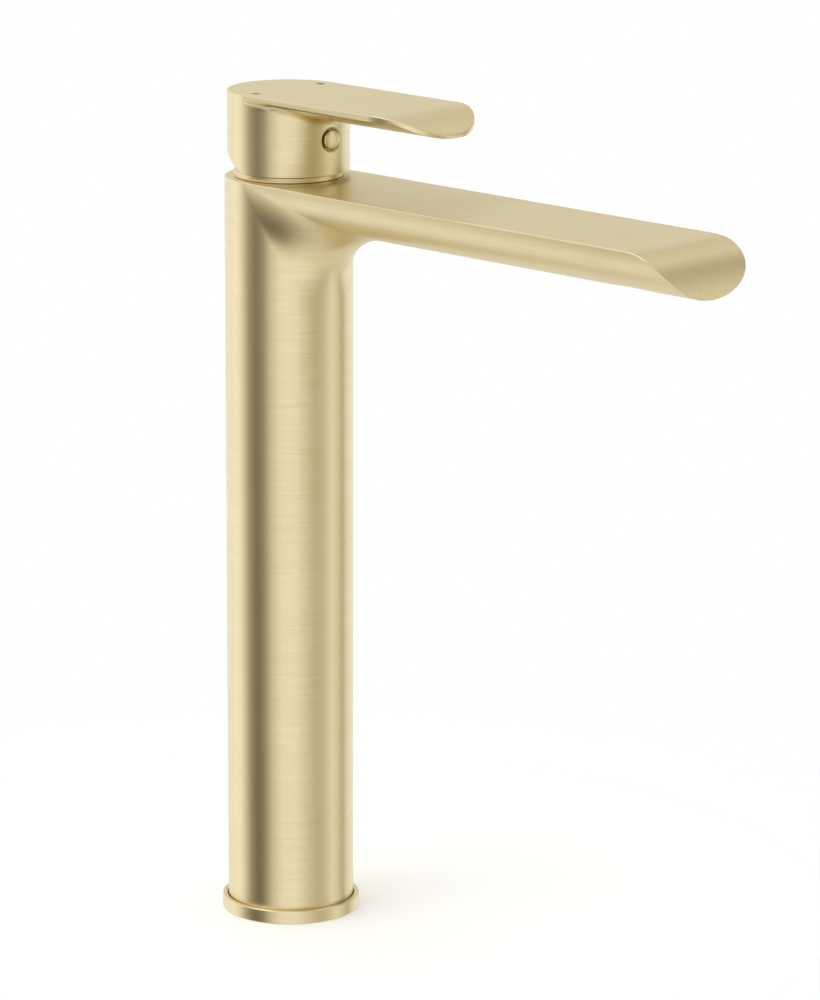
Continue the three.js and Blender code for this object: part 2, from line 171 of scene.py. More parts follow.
table_r = 0.6
table_fade = (0.035, 0.28)    # the distances from the middle between which the table fades away
deselect()
bpy.ops.mesh.primitive_circle_add(vertices=96, radius=table_r, fill_type="NGON")
table = bpy.context.object
table.name = "table_top"
table.visible_glossy = False
pale = bpy.data.materials.new("pale painted table")
pale.use_nodes = True
tree = pale.node_tree
tree.nodes.clear()
place = add_node(tree, "ShaderNodeTexCoord").outputs["Object"]
distance = add_node(tree, "ShaderNodeVectorMath", {"operation": "LENGTH"}, {0: place})
paint = add_node(tree, "ShaderNodeBsdfPrincipled", links={
    "Base Color": (0.99, 0.99, 0.985, 1), "Roughness": 0.8,
    "Emission Color": white, "Emission Strength": 0.16})
clear = add_node(tree, "ShaderNodeBsdfTransparent")
surface = add_node(tree, "ShaderNodeMixShader", links={
    0: smooth_step(tree, distance.outputs["Value"], *table_fade),
    1: paint.outputs[0], 2: clear.outputs[0]})
add_node(tree, "ShaderNodeOutputMaterial", links={"Surface": surface.outputs[0]})
table.data.materials.append(pale)


# ---- Body casting -------------------------------------------------------------------------------
# Column and spout are one hollow brass casting, machined, linished to a fine brushed grain and then
# plated champagne gold. The spout is half an ellipse under a flat top, and a fillet joins the two.

def linear(hex_colour):
    """An sRGB hex colour as linear red, green and blue."""
    channels = [int(hex_colour[i:i + 2], 16) / 255 for i in (1, 3, 5)]
    return [c / 12.92 if c <= 0.04045 else ((c + 0.055) / 1.055) ** 2.4 for c in channels]


def start_material(name, looks):
    """A new material: its tree, its Principled shader with these values, and its coordinates."""
    material = bpy.data.materials.new(name)
    material.use_nodes = True
    tree = material.node_tree
    tree.nodes.clear()
    shader = add_node(tree, "ShaderNodeBsdfPrincipled", links=looks)
    add_node(tree, "ShaderNodeOutputMaterial", links={"Surface": shader.outputs[0]})
    return material, tree, shader, add_node(tree, "ShaderNodeTexCoord").outputs["Object"]


def grain(tree, place, sizes, detail=3.0):
    """Noise on Object coordinates whose bumps have these lengths along X, Y and Z."""
    stretched = add_node(tree, "ShaderNodeMapping", links={
        "Vector": place, "Scale": [1 / size for size in sizes]})
    return add_node(tree, "ShaderNodeTexNoise", links={
        "Vector": stretched.outputs[0], "Scale": 1.0, "Detail": detail,
        "Roughness": 0.6}).outputs["Fac"]


def tint(tree, shader, value, low, high, places=(0.3, 0.7)):
    """Colours the surface from low to high as the value goes between these two places."""
    colour = add_node(tree, "ShaderNodeValToRGB", links={0: value})
    set_ramp(colour, zip(places, (low, high)), "LINEAR")
    tree.links.new(colour.outputs[0], shader.inputs["Base Color"])


def emboss(tree, shader, pattern, strength, depth):
    """Raises the surface by a pattern, in the shading only."""
    relief = add_node(tree, "ShaderNodeBump", links={
        "Height": pattern, "Strength": strength, "Distance": depth})
    tree.links.new(relief.outputs[0], shader.inputs["Normal"])


def cross(tree, first, second):
    """The direction square to two others."""
    return add_node(tree, "ShaderNodeVectorMath", {"operation": "CROSS_PRODUCT"}, {
        0: first, 1: second}).outputs[0]


streak_length = 22 * MM
streak_width = 0.3 * MM       # real lines are finer, and are drawn this coarse so that they show
cloud_size = 22.22 * MM       # how far apart the plating's faint changes of tone are
cloud_share = 0.3             # and how strong they are beside the lines


def brushed_gold(name, arm=None):
    """Plated brass with a fine brushed grain: satin, with its sheen drawn out across the lines.
    The lines go round the axis, and along X on level faces and on an arm (its x and z ranges)."""
    material, tree, shader, place = start_material(name, {"Metallic": 1, "Anisotropic": 0.7})
    lines = grain(tree, place, (streak_length, streak_length, streak_width))
    normal = add_node(tree, "ShaderNodeNewGeometry").outputs["Normal"]
    sheen_way = cross(tree, normal, cross(tree, (0, 0, 1), place))
    if arm:
        facing = add_node(tree, "ShaderNodeVectorMath", {"operation": "ABSOLUTE"}, {0: normal})
        facing = add_node(tree, "ShaderNodeSeparateXYZ", links={0: facing.outputs[0]}).outputs
        spot = add_node(tree, "ShaderNodeSeparateXYZ", links={0: place}).outputs
        on_arm = add_node(tree, "ShaderNodeMath", {"operation": "MULTIPLY"}, {
            0: smooth_step(tree, spot["X"], *arm[0]), 1: smooth_step(tree, spot["Z"], *arm[1])})
        level_face, side_face = (0.75, 0.92), (0.45, 0.8)
        on_arm = add_node(tree, "ShaderNodeMath", {"operation": "MAXIMUM"}, {
            0: on_arm.outputs[0], 1: smooth_step(tree, facing["Z"], *level_face)}).outputs[0]
        top_lines = grain(tree, place, (streak_length, streak_width, streak_length))
        on_side = smooth_step(tree, facing["Y"], *side_face)
        arm_lines = mix_values(tree, "FLOAT", on_side, top_lines, lines)
        lines = mix_values(tree, "FLOAT", on_arm, lines, arm_lines)
        along_arm = cross(tree, normal, (1, 0, 0))
        sheen_way = mix_values(tree, "VECTOR", on_arm, sheen_way, along_arm)
    tree.links.new(sheen_way, shader.inputs["Tangent"])
    cloud = grain(tree, place, (cloud_size,) * 3, 2.0)
    blotch = add_node(tree, "ShaderNodeMath", {"operation": "MULTIPLY_ADD"}, {
        0: cloud, 1: cloud_share, 2: -cloud_share / 2})
    tone = add_node(tree, "ShaderNodeMath", {"operation": "ADD"}, {0: lines, 1: blotch.outputs[0]})
    tint(tree, shader, tone.outputs[0], linear("#E1D2A4"), linear("#EADCB3"), (0.3, 0.66))
    polish = add_node(tree, "ShaderNodeMapRange", links={
        "Value": lines, "From Min": 0.25, "From Max": 0.75, "To Min": 0.35, "To Max": 0.29})
    tree.links.new(polish.outputs[0], shader.inputs["Roughness"])
    emboss(tree, shader, lines, 0.06, 0.02 * MM)
    return material


def choose(piece):
    """Makes the piece the only one selected, in object mode."""
    deselect()
    bpy.context.view_layer.objects.active = piece
    piece.select_set(True)


def edit(piece):
    """Opens the piece in edit mode."""
    choose(piece)
    bpy.ops.object.mode_set(mode="EDIT")


def pick(piece, kind, test):
    """Selects the corners or edges whose corners all pass the test, and nothing else."""
    bpy.ops.mesh.select_mode(type=kind)
    bpy.ops.mesh.select_all(action="DESELECT")
    mesh = bmesh.from_edit_mesh(piece.data)
    for item in mesh.verts if kind == "VERT" else mesh.edges:
        corners = [item] if kind == "VERT" else item.verts
        if all(test(corner.co) for corner in corners):
            item.select_set(True)
    bmesh.update_edit_mesh(piece.data)


def pick_open_edge(piece, test):
    """Selects the open edges whose corners pass the test."""
    pick(piece, "EDGE", test)
    mesh = bmesh.from_edit_mesh(piece.data)
    for side in mesh.edges:
        side.select_set(side.select and side.is_boundary)
    bmesh.update_edit_mesh(piece.data)


def fill_edge(piece, test):
    """Closes the open edge whose corners pass the test with one flat face."""
    pick_open_edge(piece, test)
    bpy.ops.mesh.edge_face_add()


def move_picked(piece, rule):
    """Puts each selected corner where the rule sends it."""
    mesh = bmesh.from_edit_mesh(piece.data)
    for corner in mesh.verts:
        if corner.select:
            corner.co = rule(corner.co)
    bmesh.update_edit_mesh(piece.data)


def rule_across(piece, start):
    """Fills level strips between the selected corners past this reach and their mirror images
    over the XZ plane."""
    mesh = bmesh.from_edit_mesh(piece.data)
    ends = sorted((corner for corner in mesh.verts if corner.select and corner.co.x > start),
                  key=lambda corner: corner.co.y)
    for i in range(len(ends) // 2):
        mesh.faces.new(dict.fromkeys((ends[i], ends[i + 1], ends[-2 - i], ends[-1 - i])))
    bmesh.update_edit_mesh(piece.data)


def round_rim(piece, corner_of, inner_of, steps=3):
    """Carries the selected open rim over a rounded edge. Each point of it moves in a curve that
    sets out towards its sharp corner and ends at its place further in."""
    mesh = bmesh.from_edit_mesh(piece.data)
    starts = [corner.co.copy() for corner in mesh.verts if corner.select]
    curves = {tuple(start): (start, corner_of(start), inner_of(start)) for start in starts}
    for step in range(1, steps + 1):
        share, next_curves = step / steps, {}

        def along_curve(p):
            first, corner, last = curves[tuple(p)]
            place = first * (1 - share) ** 2 + corner * 2 * share * (1 - share) + last * share**2
            next_curves[tuple(place)] = (first, corner, last)
            return place

        bpy.ops.mesh.extrude_region_move()
        move_picked(piece, along_curve)
        curves = next_curves


def modify(piece, kind, **settings):
    """Adds a modifier and applies it."""
    choose(piece)
    modifier = piece.modifiers.new(kind.lower(), kind)
    for name, value in settings.items():
        setattr(modifier, name, value)
    bpy.ops.object.modifier_apply(modifier=modifier.name)


def placed():
    """The piece just added, with its place moved into its mesh."""
    bpy.ops.object.transform_apply(location=True, rotation=True, scale=True)
    return bpy.context.object


def outline(radius, height, corners=256):
    """A round outline, all selected in edit mode, to draw a shape up from."""
    deselect()
    bpy.ops.mesh.primitive_circle_add(vertices=corners, radius=radius, location=(0, 0, height))
    piece = placed()
    edit(piece)
    bpy.ops.mesh.select_all(action="SELECT")
    return piece


def rod(radius, low, high, x=0.0, y=0.0, corners=96):
    """An upright round bar, as a tool to cut with or a piece to shape."""
    deselect()
    bpy.ops.mesh.primitive_cylinder_add(
        vertices=corners, radius=radius, depth=high - low, location=(x, y, (low + high) / 2))
    return placed()


def cut(piece, *tools):
    """Takes each tool's shape out of the piece."""
    for tool in tools:
        modify(piece, "BOOLEAN", object=tool, operation="DIFFERENCE", solver="EXACT")
        bpy.data.objects.remove(tool)


def finish_piece(piece, name, material, body, slot, *nodes):
    """Smooth shading that keeps true edges, the finish, and the body that the piece moves with."""
    choose(piece)
    bpy.ops.object.shade_smooth_by_angle(angle=math.radians(35))
    modify(piece, "WEIGHTED_NORMAL", mode="FACE_AREA", keep_sharp=True)
    piece.name = name
    piece.data.materials.clear()
    piece.data.materials.append(material)
    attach(piece, body)
    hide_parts(*nodes)


TINY = 1e-6                   # less than this apart is one place
OVER = 1 * MM                 # how far a cutting tool reaches past a surface
body_low, body_high = (Vector(corner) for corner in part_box("body_shell"))
column_r, body_top = -body_low.x, body_high.z
spout_depth = 17 * MM
nose_start, nose_r = 182.5 * MM, 20 * MM
junction_reach = 31 * MM      # how far the fillet runs out along the spout, and down the column
junction_drop = 26 * MM
junction_ease = 1.15          # above 1, it leaves the column more gently than an ellipse would
junction_steps = 20
body_rim = 0.5 * MM           # how far the rounding of the top edge reaches


def nose_reach(drop, inset=0.0):
    """How far out the round nose is, at this drop below the top."""
    return nose_start + math.sqrt(max(0, (nose_r - inset) ** 2 - (nose_r - drop) ** 2))


def front_share(y):
    """1 on the middle plane, and 0 at the column's two sides."""
    return math.sqrt(max(0, 1 - (y / column_r) ** 2))


def on_fillet(p, turn):
    """A place on the fillet: upright on the column at turn 0, level on the spout at 90 degrees."""
    share = front_share(p.y)
    drop = share * (spout_depth + junction_drop * (1 - math.sin(turn)))
    reach = column_r + junction_reach * (1 - math.cos(turn)) ** junction_ease
    return Vector((share * reach, p.y, body_top - max(drop, body_rim)))


def body_corner(p):
    """Where the body's edge would be if it were sharp."""
    if p.x < TINY:
        return Vector((p.x, p.y, body_top))
    drop = spout_depth * front_share(p.y)
    return Vector((nose_reach(drop), p.y, body_top - drop))


def body_inside(p):
    """Where the body's rounded edge ends, on the flat top or on the nose."""
    shrink = 1 - body_rim / column_r
    if p.x < TINY:
        return Vector((p.x * shrink, p.y * shrink, body_top))
    drop = (spout_depth - body_rim) * front_share(p.y)
    return Vector((nose_reach(drop), p.y * shrink, body_top - drop))


casting = outline(column_r, body_low.z)
bpy.ops.mesh.extrude_region_move(
    TRANSFORM_OT_translate={"value": (0, 0, body_top - body_rim - body_low.z)})
move_picked(casting, lambda p: on_fillet(p, 0) if p.x > 0 else p.copy())
pick(casting, "EDGE", lambda p: p.x > -TINY and p.z > body_top / 2)
for step in range(1, junction_steps + 1):
    bpy.ops.mesh.extrude_region_move()
    move_picked(casting, lambda p: on_fillet(p, math.pi / 2 * step / junction_steps))
bpy.ops.mesh.extrude_region_move()
move_picked(casting, lambda p: Vector((
    nose_reach(max(body_top - p.z, body_rim), body_rim), p.y, p.z)))
bpy.ops.mesh.select_all(action="SELECT")
bpy.ops.mesh.remove_doubles(threshold=TINY)
pick_open_edge(casting, lambda p: p.z > body_top / 2)
round_rim(casting, body_corner, body_inside)
rule_across(casting, nose_start - TINY)
fill_edge(casting, lambda p: p.z > body_top - TINY)
fill_edge(casting, lambda p: p.z < body_low.z + TINY)
bpy.ops.mesh.select_all(action="SELECT")
bpy.ops.mesh.remove_doubles(threshold=TINY)
bpy.ops.mesh.normals_make_consistent(inside=False)

column_bore_r, column_bore_top = 20 * MM, 234 * MM
neck_bore_r, neck_bore_low = 19 * MM, 242 * MM
outlet_x, outlet_z = 175 * MM, body_top - 15.2 * MM
outlet_r, outlet_depth = 10.9 * MM, 11 * MM
seat_r, seat_depth = 12 * MM, 6 * MM      # a flat round seat milled into the spout's underside
cut(casting,
    rod(column_bore_r, 0, column_bore_top, corners=128),
    rod(neck_bore_r, neck_bore_low, body_top + 5 * OVER, corners=128),
    rod(seat_r, outlet_z - seat_depth, outlet_z, outlet_x),
    rod(outlet_r, outlet_z - OVER, outlet_z + outlet_depth, outlet_x))
spout_range = (20 * MM, 44 * MM), (body_top - 36 * MM, body_top - 18 * MM)
gold = brushed_gold("brushed champagne-gold plated brass", spout_range)
finish_piece(casting, "body_casting", gold, "body", "brushed_gold", "body_shell")


# ---- Lever handle -------------------------------------------------------------------------------
# One brass casting, brushed and plated like the body: a round hub, and a flat blade that bends down
# at its round end. The hub is cut back behind so that it can tilt, and hollow over the cartridge.

def weigh_crease(piece, on_crease, opening):
    """Gives each edge along a crease a bevel weight that grows with the angle it closes."""
    mesh = bmesh.from_edit_mesh(piece.data)
    layer = mesh.edges.layers.float.new("bevel_weight_edge")
    for side in mesh.edges:
        a, b = (corner.co for corner in side.verts)
        if on_crease(a) and on_crease(b):
            side[layer] = opening((a + b) / 2)
    bmesh.update_edit_mesh(piece.data)


def soften_edges(piece, width, segments=3, sharper_than=28):
    """Rounds every edge that turns by more than this many degrees."""
    modify(piece, "BEVEL", limit_method="ANGLE", angle_limit=math.radians(sharper_than),
           width=width, segments=segments, use_clamp_overlap=True, harden_normals=False)


def block(low, high):
    """A square-cornered block between two corners."""
    deselect()
    bpy.ops.mesh.primitive_cube_add(size=1)
    box = bpy.context.object
    box.scale = [b - a for a, b in zip(low, high)]
    box.location = [(a + b) / 2 for a, b in zip(low, high)]
    return placed()


def turned(profile, corners=128, closed=False):
    """A round piece, drawn up ring by ring through [radius, height] steps about the Z axis."""
    radius, height = profile[0]
    piece = outline(radius, height, corners)
    for next_radius, next_height in profile[1:] + ([profile[0]] if closed else []):
        bpy.ops.mesh.extrude_region_move()
        scale = next_radius / radius
        move_picked(piece, lambda p: Vector((p.x * scale, p.y * scale, next_height)))
        radius = next_radius
    bpy.ops.mesh.select_all(action="SELECT")
    bpy.ops.mesh.remove_doubles(threshold=TINY)
    if not closed:
        for end in (profile[0][1], profile[-1][1]):
            fill_edge(piece, lambda p: abs(p.z - end) < TINY)
    bpy.ops.mesh.select_all(action="SELECT")
    bpy.ops.mesh.normals_make_consistent(inside=False)
    return piece


def lay_along_x(piece, z):
    """Turns an upright piece to lie along X at this height."""
    edit(piece)
    bpy.ops.mesh.select_all(action="SELECT")
    move_picked(piece, lambda p: Vector((p.z, p.y, z - p.x)))
    return piece


def stadium(half_length, radius, low, high, y):
    """An upright bar with round ends, long along X, as a small tool to cut with or an inlay."""
    bar = rod(radius, low, high, y=y, corners=24)
    edit(bar)
    for side in (-1, 1):
        pick(bar, "VERT", lambda p: p.x * side > TINY)
        bpy.ops.transform.translate(value=(side * (half_length - radius), 0, 0))
    return bar


handle_low, handle_high = (Vector(corner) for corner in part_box("lever_handle"))
hub_r, handle_top, hub_low = -handle_low.x, handle_high.z, handle_low.z
blade_end = handle_high.x - hub_r            # centre of the round end
blade_edge, blade_depth = 2.2 * MM, 7.8 * MM
belly_flat, belly_r = 2 * MM, 30 * MM        # the underside is flat in the middle, then an arc
bend_start, bend_r = 64.3 * MM, 30 * MM
crease_r, crease_fade = 3.4 * MM, 6 * MM     # the rounding between hub and blade, and its run-out
relief_start, relief_angle = -0.5 * MM, math.radians(25)
handle_rim = 0.4 * MM


def blade_drop(y):
    """How far the blade's underside is below its top, at this distance from the middle."""
    side = max(0, abs(y) - belly_flat)
    return max(blade_edge, blade_depth - belly_r + math.sqrt(belly_r**2 - side**2))


def bend_drop(x):
    """How far the blade's top has bent down at this reach."""
    past = max(0, x - bend_start)
    return bend_r - math.sqrt(bend_r**2 - past**2)


def handle_corner(p):
    """Where the lever's top edge would be if it were sharp."""
    return Vector((p.x, p.y, handle_top - bend_drop(p.x)))


def handle_inside(p):
    """Where the lever's rounded top edge ends."""
    shrink = 1 - handle_rim / hub_r
    x = p.x * shrink if p.x < 0 else min(p.x, blade_end) + max(0, p.x - blade_end) * shrink
    return Vector((x, p.y * shrink, handle_top - bend_drop(x)))


def blade_crease_opening(middle):
    """Tangent of half the angle between hub wall and blade underside, and 0 at the sides."""
    wall = Vector((middle.x, middle.y, 0)).normalized()
    slope = (blade_drop(middle.y + TINY) - blade_drop(middle.y - TINY)) / (2 * TINY)
    under = Vector((0, -slope, -1)).normalized()
    return math.tan(wall.angle(under) / 2) * min(1, max(0, middle.x / crease_fade))


handle = outline(hub_r, hub_low)
bpy.ops.mesh.extrude_region_move()
move_picked(handle, lambda p: Vector((
    p.x, p.y, handle_top - (blade_drop(p.y) if p.x > 0 else blade_edge))))
pick(handle, "EDGE", lambda p: p.x > -TINY and p.z > hub_low + TINY)
bpy.ops.mesh.extrude_region_move()
move_picked(handle, lambda p: Vector((
    blade_end + math.sqrt(max(0, hub_r**2 - p.y**2)), p.y, p.z)))
pick_open_edge(handle, lambda p: p.z > hub_low + TINY)
bpy.ops.mesh.extrude_region_move()
move_picked(handle, lambda p: handle_corner(p) - Vector((0, 0, handle_rim)))
round_rim(handle, handle_corner, handle_inside)
rule_across(handle, bend_start)
fill_edge(handle, lambda p: p.z > handle_top - bend_drop(bend_start + 1.5 * MM))
fill_edge(handle, lambda p: p.z < hub_low + TINY)
bpy.ops.mesh.select_all(action="SELECT")
bpy.ops.mesh.normals_make_consistent(inside=False)
weigh_crease(handle, lambda p: abs(math.hypot(p.x, p.y) - hub_r) < TINY and p.x > -TINY
             and hub_low + TINY < p.z < handle_top - blade_edge + TINY, blade_crease_opening)
modify(handle, "BEVEL", limit_method="WEIGHT", offset_type="OFFSET", width=crease_r, segments=10,
       use_clamp_overlap=False, loop_slide=True)
edit(handle)
bpy.ops.mesh.select_all(action="SELECT")
bpy.ops.mesh.bisect(plane_co=(relief_start, 0, hub_low), use_fill=True, clear_inner=True,
                    plane_no=(math.sin(relief_angle), 0, math.cos(relief_angle)))
soften_edges(handle, 0.35 * MM, sharper_than=40)

cavity_r, cavity_top = 17.5 * MM, 290.5 * MM
boss_r, boss_low = 7.5 * MM, 286.5 * MM      # left standing in the cavity round the stem's socket
rib_start, rib_end, rib_half, rib_low = 4 * MM, 20 * MM, 5 * MM, 284.2 * MM     # round the screw
socket, socket_low, socket_top = 4.3 * MM, 280 * MM, 299.8 * MM
screw_z, screw_hole_r = 288.6 * MM, 2.8 * MM
plug_hole_r, plug_seat = 4.05 * MM, 19.4 * MM
rim_width = 0.55 * MM                        # the countersink round the plug's hole
cavity = rod(cavity_r, hub_low - 2 * OVER, cavity_top, corners=128)
cut(cavity,
    rod(boss_r, boss_low, cavity_top + OVER),
    block((rib_start, -rib_half, rib_low), (rib_end, rib_half, cavity_top + OVER)))
screw_hole = lay_along_x(rod(screw_hole_r, 0, hub_r + OVER, corners=64), screw_z)
countersink = lay_along_x(turned([
    (plug_hole_r, plug_seat), (plug_hole_r, hub_r - rim_width),
    (plug_hole_r + 2 * rim_width, hub_r + rim_width), (plug_hole_r + 2 * rim_width, hub_r + OVER)],
    96), screw_z)
pick(countersink, "VERT", lambda p: p.x > plug_seat + OVER)
move_picked(countersink, lambda p: Vector((
    p.x - hub_r + math.sqrt(hub_r**2 - p.y**2), p.y, p.z)))
cut(handle, cavity,
    block((-socket, -socket, socket_low), (socket, socket, socket_top)),
    screw_hole, countersink)

mark_half, mark_r, mark_y, mark_depth = 1.75 * MM, 1.1 * MM, 16.1 * MM, 0.25 * MM
cut(handle, *(stadium(mark_half, mark_r, handle_top - mark_depth, handle_top + OVER, side * mark_y)
              for side in (-1, 1)))
blade_range = (22 * MM, 26 * MM), (hub_low - 2 * MM, hub_low - 1 * MM)
handle_gold = brushed_gold("brushed champagne-gold plated handle", blade_range)
finish_piece(handle, "handle_casting", handle_gold, "handle", "brushed_gold", "lever_handle")


# ---- Hot and cold marks -------------------------------------------------------------------------
# Two short grooves cut in the hub's top, filled with baked enamel: red on the hot side, blue on the
# cold. The enamel stands a hair below the metal, and its gloss is soft.

def enamel(name, hex_colour):
    """Baked enamel: one plain colour, a little uneven, with a soft gloss."""
    material, tree, shader, place = start_material(name, {
        "Roughness": 0.45, "Specular IOR Level": 0.25})
    full = linear(hex_colour)
    tint(tree, shader, grain(tree, place, (1.111 * MM,) * 3, 2.0), [c * 0.8 for c in full], full)
    return material


enamel_gap = 0.02 * MM        # round the enamel, and below the metal
enamel_lift = 0.01 * MM       # off the groove's floor
for mark, side, hex_colour in (("hot", -1, "#B0341C"), ("cold", 1, "#22324A")):
    inlay = stadium(mark_half - enamel_gap, mark_r - enamel_gap,
                    handle_top - mark_depth + enamel_lift, handle_top - enamel_gap, side * mark_y)
    soften_edges(inlay, 0.05 * MM, 2)
    finish_piece(inlay, mark + "_mark_enamel", enamel("baked enamel, " + mark + " mark", hex_colour),
                 "handle", "white_plastic")


# ---- Index plug ---------------------------------------------------------------------------------
# A small turned and plated brass button that hides the handle's grub screw. Its skirt is pushed
# into the screw hole, its face is slightly domed, and a countersunk hole leaves a gap round it.

skirt_r, skirt_start, plug_back = 2.3 * MM, 15 * MM, 19.8 * MM
plug_r, plug_edge, plug_rise = 3.4 * MM, 21.9 * MM, 0.7 * MM
dome_steps, pole_r = 8, 0.2 * MM
dome = [(plug_r * math.cos(a), plug_edge + plug_rise * math.sin(a))
        for a in (math.pi / 2 * step / dome_steps for step in range(dome_steps))]
plug = lay_along_x(turned(
    [(skirt_r, skirt_start), (skirt_r, plug_back), (plug_r, plug_back)] + dome
    + [(pole_r, plug_edge + plug_rise)], 64), screw_z)
soften_edges(plug, 0.15 * MM, 2, 50)
turned_gold = brushed_gold("turned champagne-gold plated brass")
finish_piece(plug, "index_plug_button", turned_gold, "handle", "brushed_gold", "index_plug")


# ---- Bonnet ring --------------------------------------------------------------------------------
# A turned brass cover screwed down over the cartridge's neck. It shows as a thin band with a dark
# line above and below it, and its raised middle closes the gap under the tilted hub.

bonnet_low, bonnet_high = body_top + 0.12 * MM, hub_low - 0.5 * MM
bonnet_bore, bonnet_r, collar_r = 12.8 * MM, 19.8 * MM, 16.2 * MM
cone_r, cone_low, crown_r, crown_top = 15.2 * MM, 279.4 * MM, 14 * MM, 280.6 * MM
bonnet = turned([
    (bonnet_bore, bonnet_low), (bonnet_r, bonnet_low), (bonnet_r, bonnet_high),
    (collar_r, bonnet_high), (cone_r, cone_low), (crown_r, crown_top), (bonnet_bore, crown_top)],
    192, closed=True)
soften_edges(bonnet, 0.22 * MM)
finish_piece(bonnet, "bonnet_cover", turned_gold, "body", "brushed_gold", "bonnet_ring")


# ---- Base ring ----------------------------------------------------------------------------------
# A turned and plated brass ring that the column stands in. A rubber gasket lies in a groove under
# it, and the ring hides the edge of the hole in the basin or worktop.

ring_r, ring_height = 25.15 * MM, 5 * MM
ring_bore, ring_seat, ring_seat_r = 20.3 * MM, 3 * MM, 23.3 * MM
groove_in, groove_out, groove_depth = 21.4 * MM, 24 * MM, 1.6 * MM
gasket_in, gasket_out, gasket_height = 21.7 * MM, 23.7 * MM, 1.3 * MM
base = turned([
    (ring_bore, 0), (groove_in, 0), (groove_in, groove_depth), (groove_out, groove_depth),
    (groove_out, 0), (ring_r, 0), (ring_r, ring_height), (ring_seat_r, ring_height),
    (ring_seat_r, ring_seat), (ring_bore, ring_seat)], 192, closed=True)
soften_edges(base, 0.4 * MM, 4)
finish_piece(base, "base_ring_turned", turned_gold, "body", "brushed_gold", "base_ring")


def rubber(name):
    """Moulded nitrile rubber: near black and dull, with a faint bloom."""
    material, tree, shader, place = start_material(name, {"Roughness": 0.75})
    bloom = grain(tree, place, (1.43 * MM,) * 3, 4.0)
    tint(tree, shader, bloom, linear("#141416"), linear("#26262A"), (0.35, 0.75))
    emboss(tree, shader, bloom, 0.3, 0.05 * MM)
    return material


nitrile = rubber("moulded nitrile rubber")
gasket = turned([
    (gasket_in, 0), (gasket_out, 0), (gasket_out, gasket_height), (gasket_in, gasket_height)],
    closed=True)
soften_edges(gasket, 0.3 * MM)
finish_piece(gasket, "base_gasket_moulded", nitrile, "body", "black_rubber", "base_gasket")


# ---- Inlet block --------------------------------------------------------------------------------
# A turned brass plug in the foot of the column, sealed with an O-ring. Two tapped holes take the
# hose tails and two take the fixing studs, and all four are countersunk. It is left unplated.

def machined_brass(name):
    """Raw turned brass: warm yellow with fine tool marks round it and a few dull stains."""
    material, tree, shader, place = start_material(name, {"Metallic": 1, "Roughness": 0.32})
    spot = add_node(tree, "ShaderNodeSeparateXYZ", links={0: place}).outputs
    flat = add_node(tree, "ShaderNodeCombineXYZ", links={0: spot["X"], 1: spot["Y"]})
    reach = add_node(tree, "ShaderNodeVectorMath", {"operation": "LENGTH"}, {0: flat.outputs[0]})
    travel = add_node(tree, "ShaderNodeMath", {"operation": "ADD"}, {
        0: reach.outputs["Value"], 1: spot["Z"]})
    feed = 0.35 * MM
    tool_marks = add_node(tree, "ShaderNodeTexNoise", {"noise_dimensions": "1D"}, {
        "W": travel.outputs[0], "Scale": 1 / feed, "Detail": 2.0}).outputs["Fac"]
    stain = grain(tree, place, (6.25 * MM,) * 3)
    tint(tree, shader, stain, linear("#A8853F"), linear("#CFAE66"))
    emboss(tree, shader, tool_marks, 0.25, 0.03 * MM)
    return material


def shift(piece, x=0.0, y=0.0):
    """Moves a piece's mesh along X and Y."""
    edit(piece)
    bpy.ops.mesh.select_all(action="SELECT")
    bpy.ops.transform.translate(value=(x, y, 0))
    return piece


def tapped_hole(radius, depth, pitch):
    """A countersunk cutter with V-shaped thread ridges, for a hole up into the piece from below."""
    thread = 0.55 * pitch
    steps = [(radius + 0.5 * MM, -0.5 * MM), (radius + 0.1 * MM, 0.2 * MM)]
    for turn in range(int(depth / pitch)):
        foot = 0.3 * MM + turn * pitch
        steps += [(radius - thread, foot), (radius, foot + pitch / 2)]
    return turned(steps + [(radius - thread, depth)], 32)


block_r, block_height = 19.7 * MM, 24 * MM
seal_groove_r, seal_low, seal_high = 17.8 * MM, 14.6 * MM, 17.4 * MM
hose_y, hose_r, hose_depth, hose_pitch = 9 * MM, 5 * MM, 12 * MM, 1 * MM
stud_x, stud_r, stud_depth, stud_pitch = 13 * MM, 4 * MM, 11 * MM, 1.25 * MM
waterway_r, pipe_seat_r, pipe_seat_low = 3 * MM, 4.3 * MM, 17 * MM
inlet = turned([
    (block_r, 0), (block_r, seal_low), (seal_groove_r, seal_low), (seal_groove_r, seal_high),
    (block_r, seal_high), (block_r, block_height)])
soften_edges(inlet, 0.3 * MM)
for side in (-1, 1):
    cut(inlet,
        shift(tapped_hole(hose_r, hose_depth, hose_pitch), y=side * hose_y),
        shift(tapped_hole(stud_r, stud_depth, stud_pitch), x=side * stud_x),
        rod(waterway_r, hose_depth - OVER, block_height + 2 * OVER, y=side * hose_y, corners=32),
        rod(pipe_seat_r, pipe_seat_low, block_height + 2 * OVER, y=side * hose_y, corners=32))
brass = machined_brass("raw turned brass")
finish_piece(inlet, "inlet_block_turned", brass, "body", "raw_brass", "inlet_block")


# ---- Aerator ------------------------------------------------------------------------------------
# An acetal cartridge under the spout's nose. A notched ring takes the service key, a honeycomb
# screen behind it straightens the water, and a rubber washer seals the top.

def acetal(name, low_hex, high_hex):
    """Moulded acetal: satin and a little milky, with the soft orange peel of a mould."""
    material, tree, shader, place = start_material(name, {"Roughness": 0.42})
    milk = grain(tree, place, (3.333 * MM,) * 3, 2.0)
    peel = grain(tree, place, (0.6667 * MM,) * 3, 2.0)
    tint(tree, shader, milk, linear(low_hex), linear(high_hex))
    emboss(tree, shader, peel, 0.15, 0.03 * MM)
    return material


